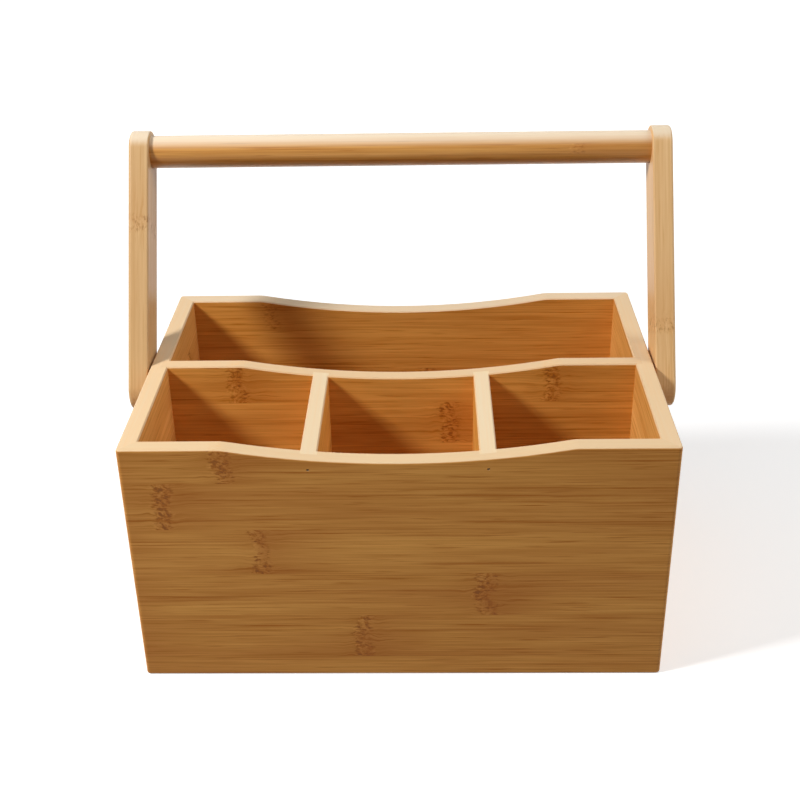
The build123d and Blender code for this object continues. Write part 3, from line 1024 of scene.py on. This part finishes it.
@dataclass
class Screw:
    """A wood screw that stands on its point, with its head's underside, or a flush head's top, at x = 0.

    Attributes:
        head_radius: Of the head.
        head_height: Over the underside, for a round head, and 0 for a flush one.
        radius: Of the shank and of the thread's crests.
        length: From x = 0 to the point.
        plain: How much of that has no thread.
        cone: How long the cone under a flush head is.
        rim: The straight wall over that cone.
        pitch: From one turn of the thread to the next.
        core: The radius between the crests.
        point: How long the point is.
        cross_span: Across the recess in the head.
        cross_width: Across one of its slots.
        cross_depth: Its depth.
        cross_rise: How much shallower it is at the slots' ends, as a share of that.
        cross_wall: How wide the slope of a slot's wall is.
        dome: How much of a round head's height its crown takes.
        crown: How far out that crown goes, as a share of the head's radius.
        wall: How high a round head is at its full radius, as a share of its height.
        edge: How much the edge of its underside is broken.
        neck: The slope from the shank to its underside.
        tops: How many rings the head's top has.
        crowding: The power by which they crowd together towards the head's edge.
        taper: The power by which the point narrows.
        flank: How much of a turn of the thread is crest and flanks, as the steepness of the wave.
        ring: How many chords a full turn has.
    """

    head_radius: float
    head_height: float
    radius: float
    length: float
    plain: float
    cone: float = 0.0
    rim: float = 0.0
    pitch: float = 1.8 * MM
    core: float = 1.4 * MM
    point: float = 3.4 * MM
    cross_span: float = 4.0 * MM
    cross_width: float = 0.95 * MM
    cross_depth: float = 1.5 * MM
    cross_rise: float = 0.6
    cross_wall: float = 0.12 * MM
    dome: float = 0.55
    crown: float = 0.97
    wall: float = 0.32
    edge: float = 0.12 * MM
    neck: float = 0.2 * MM
    tops: int = 40
    crowding: float = 0.8
    taper: float = 0.8
    flank: float = 2.2
    ring: int = 72

    def recess(self, y: np.ndarray, z: np.ndarray) -> np.ndarray:
        """The depth of the cross at points of the head's top.

        In each slot it falls from 0 at the slot's walls to the full depth over the wall's slope, and it gets
        shallower towards the slot's ends, with the square of the distance from the middle.

        Args:
            y: Across the head.
            z: Across the head, the other way.

        Returns:
            The depth at each point.
        """
        half = self.cross_span / 2
        depths = []
        for a, b in ((y, z), (z, y)):
            inside = np.minimum(half - np.abs(a), self.cross_width / 2 - np.abs(b))
            fall = np.clip(inside / self.cross_wall, 0, 1)
            depths.append(fall * self.cross_depth * (1 - self.cross_rise * np.clip(a / half, -1, 1) ** 2))
        return np.maximum(*depths)

    def head(self, angles: np.ndarray) -> list[tuple[np.ndarray, np.ndarray]]:
        """The rings of the head and the plain shank. The top is a dome, less the recess.

        Args:
            angles: The angles of a full turn, in one row.

        Returns:
            Rows of (x, r).
        """
        height, radius = self.head_height, self.head_radius
        share = np.linspace(0, 1, self.tops)[:, None] ** self.crowding
        out = share * radius * (self.crown if height else 1.0)
        fall = height * self.dome * (1 - np.sqrt(np.clip(1 - (out / radius) ** 2, 0, 1)))
        top = height - fall - self.recess(out * np.cos(angles), out * np.sin(angles))
        if height:
            side = [(height * self.wall, radius), (self.edge, radius), (0.0, radius - self.edge)]
            side += [(0.0, self.radius + self.neck), (-self.neck, self.radius)]
        else:
            side = [(-self.rim, radius), (-self.rim - self.cone, self.radius)]
        side += [(-self.plain, self.radius)]
        rows = [(top, np.broadcast_to(out, top.shape))]
        return rows + [(np.full_like(angles, x), np.full_like(angles, r)) for x, r in side]

    def thread(self, angles: np.ndarray) -> list[tuple[np.ndarray, np.ndarray]]:
        """The rings of the thread and the point.

        The radius goes from core to crest and back, as a triangle wave of x / pitch plus a turn's share, and
        both shrink to nothing over the point.

        Args:
            angles: The angles of a full turn, in one row.

        Returns:
            Rows of (x, r).
        """
        down = np.arange(self.plain + self.pitch / 4, self.length, self.pitch / 9)[:, None]
        wave = 1 - np.abs(2 * np.mod(down / self.pitch + angles / (2 * math.pi), 1) - 1)
        crest = np.clip(self.flank * (wave - 1) + 1, 0, 1) * np.clip((down - self.plain) / self.pitch, 0, 1)
        body = self.core + (self.radius - self.core) * crest
        taper = np.clip((self.length - down) / self.point, 0, 1) ** self.taper
        tip = (np.full_like(angles, -self.length), np.zeros_like(angles))
        return [(np.broadcast_to(-down, body.shape), body * taper), tip]

    def grid(self) -> np.ndarray:
        """The whole skin: rings from the middle of the head's top, over its side and down to the point.

        Returns:
            The points, by ring and by angle.
        """
        angles = full_turn(self.ring)[None, :]
        rows = self.head(angles) + self.thread(angles)
        x, radius = (np.concatenate(part) for part in zip(*rows))
        turn = np.broadcast_to(angles, x.shape)
        return np.stack([x, radius * np.cos(turn), radius * np.sin(turn)], axis=-1)


@dataclass
class Hardware:
    """Screws, washers and brads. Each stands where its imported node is.

    Attributes:
        handle: The handle that they hold.
        washer_hole: The radius of a washer's hole.
        washer_round: The rounding of its outer edges.
        washer_share: The most of its thickness that this takes.
        washer_steps: How many points it has.
        brad_corner: The power of the brad's section, where 2 is round and a high one is square.
        brad_shape: Rows of how far along it is, how wide and how high, from its front end to its point.
        ring: How many chords a full turn of a washer has.
        brad_ring: The same for a brad.
    """

    handle: Handle
    washer_hole: float = 2.2 * MM
    washer_round: float = 0.3 * MM
    washer_share: float = 0.3
    washer_steps: int = 5
    brad_corner: float = 6.0
    brad_shape: tuple[tuple[float, float, float], ...] = (
        (0.0, 0.0, 0.0), (0.0, 0.6, 0.6), (0.05, 0.85, 0.85), (0.2, 0.96, 0.96), (0.5, 1.0, 1.0),
        (17.0, 1.0, 1.0), (19.0, 0.75, 1.0), (20.0, 0.35, 0.9), (20.0, 0.0, 0.0),
    )
    ring: int = 72
    brad_ring: int = 48

    def washer(self, node: str) -> Shell:
        """A stamped ring, rounded on its outer edges: a closed profile turned about the pivot.

        Args:
            node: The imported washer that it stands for.

        Returns:
            The washer's mesh.
        """
        low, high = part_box(node)
        radius, hole = (high.y - low.y) / 2, self.washer_hole
        edge = min(self.washer_share * (high.x - low.x), self.washer_round)
        sweep = np.linspace(0, math.pi / 2, self.washer_steps)
        outer = list(zip(high.x - edge * (1 - np.cos(sweep)), radius - edge * (1 - np.sin(sweep))))
        profile = [(high.x, hole + edge), *outer]
        profile += [(low.x + high.x - x, r) for x, r in outer[::-1]]
        profile += [(low.x, hole + edge / 2), (low.x + edge / 2, hole), (high.x - edge, hole)]
        profile += [profile[0]]
        shell = Shell()
        shell.grid(turned(np.array(profile), full_turn(self.ring)) + self.handle.pivot)
        return shell

    def screw(self, screw: Screw, side: Side, x: float, leant: bool) -> Shell:
        """A screw along X at one end of the box.

        Args:
            screw: Its sizes.
            side: Which end.
            x: How far out its own x = 0 is.
            leant: True for the bar's screw, which leans with the arm, and False for the pivot's.

        Returns:
            The screw's mesh.
        """
        shell = Shell()
        grid = (screw.grid() + [x, 0, self.handle.reach if leant else 0]) * [side.value, 1, 1]
        shell.grid(self.handle.leant(grid) if leant else grid + self.handle.pivot)
        return shell

    def brad(self, node: str) -> Shell:
        """A brad of flat wire: a rounded rectangle carried along Y, domed in front and drawn to a wedge.

        The section is a superellipse, (|x| / a) ^ n + (|z| / b) ^ n = 1, whose width shrinks at the wedge.

        Args:
            node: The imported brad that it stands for.

        Returns:
            The brad's mesh.
        """
        low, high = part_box(node)
        middle, half = (low + high) / 2, (high - low) / 2
        angles = full_turn(self.brad_ring)[None, :]
        power = self.brad_corner
        reach = (np.abs(np.cos(angles)) ** power + np.abs(np.sin(angles)) ** power) ** (-1 / power)
        along, wide, tall = np.array(self.brad_shape).T[:, :, None]
        x = middle.x + half.x * wide * reach * np.cos(angles)
        z = middle.z + half.z * tall * reach * np.sin(angles)
        y = np.broadcast_to(low.y + along / along[-1] * 2 * half.y, x.shape)
        shell = Shell()
        shell.grid(np.stack([x, y, z], axis=-1))
        return shell

    def build(self) -> list[bpy.types.Object]:
        """Makes all the hardware.

        Returns:
            The pieces.
        """
        zinc = Steel("zinc plate", (0.72, 0.71, 0.68), (0.56, 0.56, 0.55), 0.34).material()
        wire = Steel("brad wire", (0.09, 0.06, 0.035), (0.05, 0.03, 0.018), 0.5).material()
        handle = self.handle
        seat = float(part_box("right_head_washer")[1].x)
        face = handle.arm_inner + handle.thickness
        pivot = Screw(head_radius=4.0 * MM, head_height=2.6 * MM, radius=2.1 * MM, length=35 * MM,
                      plain=11 * MM)
        flush = Screw(head_radius=3.86 * MM, head_height=0.0, radius=1.98 * MM, length=32 * MM, plain=12 * MM,
                      cone=1.9 * MM, rim=0.25 * MM, core=1.3 * MM)
        pieces = []
        for side in Side:
            end = side.name.lower()
            shells = {
                f"{end}_pivot_screw": ("caddy", self.screw(pivot, side, seat, False), zinc),
                f"{end}_head_washer": ("caddy", self.washer(f"{end}_head_washer"), zinc),
                f"{end}_spacer_washer": ("caddy", self.washer(f"{end}_spacer_washer"), zinc),
                f"{end}_bar_screw": ("handle", self.screw(flush, side, face, True), zinc),
                f"{end}_divider_brad": ("caddy", self.brad(f"{end}_divider_brad"), wire),
            }
            for node, (body, shell, material) in shells.items():
                piece = shell.piece(node + ".dressed", material)
                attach(piece, body)
                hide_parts(node)
                pieces.append(piece)
        return pieces


# ---------------------------------------------------------------- the studio


@dataclass(frozen=True)
class Lamp:
    """A square lamp that shines at the middle of the box.

    Attributes:
        name: Its name.
        way: The way that it shines.
        distance: How far it is from the box.
        size: Across the lamp.
        level: What a white surface that faces it gets from it, where 1 is white, if the lamp is small.
        aim: The middle of the box.
    """

    name: str
    way: tuple[float, float, float]
    distance: float
    size: float
    level: float
    aim: tuple[float, float, float] = (0.0, 0.0, 0.12)

    def build(self) -> None:
        """Adds the lamp."""
        way = Vector(self.way).normalized()
        data = bpy.data.lights.new(self.name, "AREA")
        data.shape, data.size = "SQUARE", self.size
        data.energy = self.level * (math.pi * self.distance) ** 2
        made = bpy.data.objects.new(self.name, data)
        turned_to = way.to_track_quat("-Z", "Y").to_matrix().to_4x4()
        made.matrix_world = Matrix.Translation(Vector(self.aim) - way * self.distance) @ turned_to
        bpy.context.scene.collection.objects.link(made)


@dataclass
class Studio:
    """A pale floor, plain soft light and the camera.

    Attributes:
        place: Where the camera is.
        down: How far it looks down, in radians.
        aside: How far it is turned, in radians.
        roll: How far it is tipped over, in radians.
        lens: Its lens, in millimetres.
        sensor: How wide its picture is inside it, in millimetres.
        nearest: The nearest that it sees.
        lamps: The key lamp, up on the left, a wide one overhead and a weak one on the right.
        fill: What the surroundings give, from all sides.
        floor_tone: The floor's colour, as it lights the object.
        floor_pale: Its colour where it is seen.
        floor_white: The part of the floor's white that no shadow takes away, by the object and far from it.
        floor_reach: How far out the floor starts to get whiter, and where it is done.
        floor_size: How far it goes, to each side.
    """

    place: tuple[float, float, float] = (0.014134, -0.577963, 0.421161)
    down: float = 0.494175
    aside: float = -0.0257961
    roll: float = -0.0189376
    lens: float = 55.99
    sensor: float = 36.0
    nearest: float = 0.01
    lamps: tuple[Lamp, ...] = (
        Lamp("key", (1.1, 0.45, -1.0), 1.3, 0.24, 0.92),
        Lamp("overhead", (0.0, 0.10, -1.0), 1.6, 1.0, 0.09),
        Lamp("right", (-0.80, 0.05, -0.6), 1.5, 0.9, 0.46),
    )
    fill: float = 0.12
    floor_tone: float = 0.3
    floor_pale: float = 0.95
    floor_white: tuple[float, float] = (0.36, 0.9)
    floor_reach: tuple[float, float] = (0.35, 1.1)
    floor_size: float = 4.0

    def camera(self) -> None:
        """Puts the camera where the photograph was taken from, by its right, up and forward directions."""
        level = math.cos(self.down)
        forward = Vector((math.sin(self.aside) * level, math.cos(self.aside) * level, -math.sin(self.down)))
        right = Vector((math.cos(self.aside), -math.sin(self.aside), 0.0))
        up = right.cross(forward)
        cos, sin = math.cos(self.roll), math.sin(self.roll)
        axes = Matrix((cos * right + sin * up, cos * up - sin * right, -forward)).transposed()
        data = bpy.data.cameras.new("camera")
        data.lens, data.sensor_width, data.clip_start = self.lens, self.sensor, self.nearest
        made = bpy.data.objects.new("camera", data)
        made.matrix_world = Matrix.Translation(self.place) @ axes.to_4x4()
        bpy.context.scene.collection.objects.link(made)
        bpy.context.scene.camera = made

    @staticmethod
    def seen(recipe: Recipe) -> Socket:
        """1 for what is seen, straight or in a reflection or through glass, and 0 for what only lights."""
        path = recipe.node("LightPath").outputs
        glossy = recipe.maths("MAXIMUM", path["Is Glossy Ray"], path["Is Transmission Ray"])
        return recipe.maths("MAXIMUM", path["Is Camera Ray"], glossy)

    def floor(self) -> None:
        """A wide pale floor, which keeps the object's shadow."""
        r = Recipe(bpy.data.materials.new("floor"))
        greys = [(tone, tone, tone, 1.0) for tone in (self.floor_tone, self.floor_pale)]
        lighting, pale = (r.node("BsdfDiffuse", {"Color": grey}).outputs[0] for grey in greys)
        place = r.node("TexCoord").outputs["Object"]
        out = r.node("VectorMath", {0: place}, operation="LENGTH").outputs["Value"]
        strength = r.smooth(out, *self.floor_reach, *self.floor_white)
        white = r.node("Emission", {"Color": (1.0, 1.0, 1.0, 1.0), "Strength": strength}).outputs[0]
        shown = r.node("AddShader", {0: pale, 1: white}).outputs[0]
        both = r.node("MixShader", {0: self.seen(r), 1: lighting, 2: shown}).outputs[0]
        r.node("OutputMaterial", {0: both})
        shell = Shell()
        reach = np.linspace(-self.floor_size, self.floor_size, 9)
        x, y = np.meshgrid(reach, reach)
        shell.grid(np.stack([x, y, 0 * x], axis=-1))
        floor = shell.piece("floor", r.owner)

    def world(self) -> None:
        """White where it is seen, and the fill's level where it only lights."""
        world = bpy.data.worlds.new("studio")
        bpy.context.scene.world = world
        r = Recipe(world)
        strength = r.smooth(self.seen(r), 0.0, 1.0, self.fill, 1.0)
        shone = r.node("Background", {"Color": (1.0, 1.0, 1.0, 1.0), "Strength": strength}).outputs[0]
        r.node("OutputWorld", {0: shone})

    def build(self) -> None:
        """Sets the studio up."""
        self.camera()
        for lamp in self.lamps:
            lamp.build()
        self.floor()
        self.world()
        bpy.context.scene.view_settings.view_transform = "Standard"


def main() -> None:
    """Builds the sub-assemblies in order, and reports each piece."""
    logging.basicConfig(level=logging.INFO, format="%(name)s: %(message)s")
    Studio().build()
    Box().dress()
    handle = Handle()
    for piece in handle.build() + Hardware(handle).build():
        log.info("built %s with %d faces", piece.name, len(piece.data.polygons))


if __name__ == "__main__":
    main()
